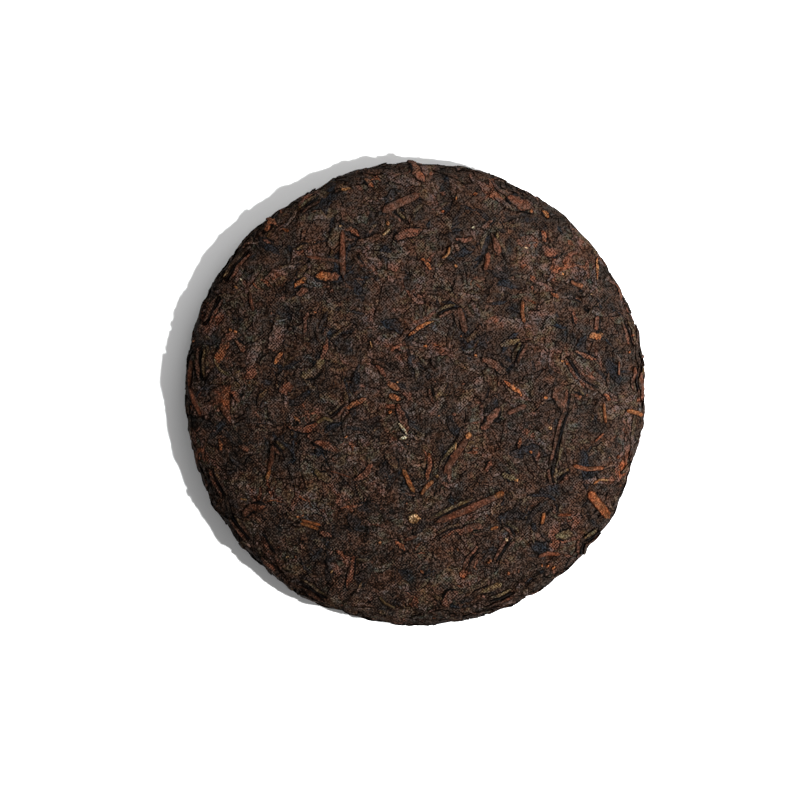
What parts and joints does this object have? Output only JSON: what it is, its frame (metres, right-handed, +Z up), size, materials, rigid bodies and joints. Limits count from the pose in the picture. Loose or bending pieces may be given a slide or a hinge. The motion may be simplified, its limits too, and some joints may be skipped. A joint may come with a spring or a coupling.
{
  "type": "pu erh tea cake",
  "caption": "Round pressed cake of dark whole tea leaves and stalks, with a low domed face, a rounded rim and a flat underside round a central hollow.",
  "frame": {"origin": "middle of the underside, on the surface that the cake rests on", "axes": "+Z up through the domed face; +X to the right and +Y to the top as the picture shows the cake from above"},
  "size_m": [0.1951, 0.1964, 0.0262],
  "materials": {
    "pressed_tea": "dry pressed leaf, dull"
  },
  "bodies": {
    "root": {"tea_cake": "pressed_tea"}
  },
  "joints": []
}
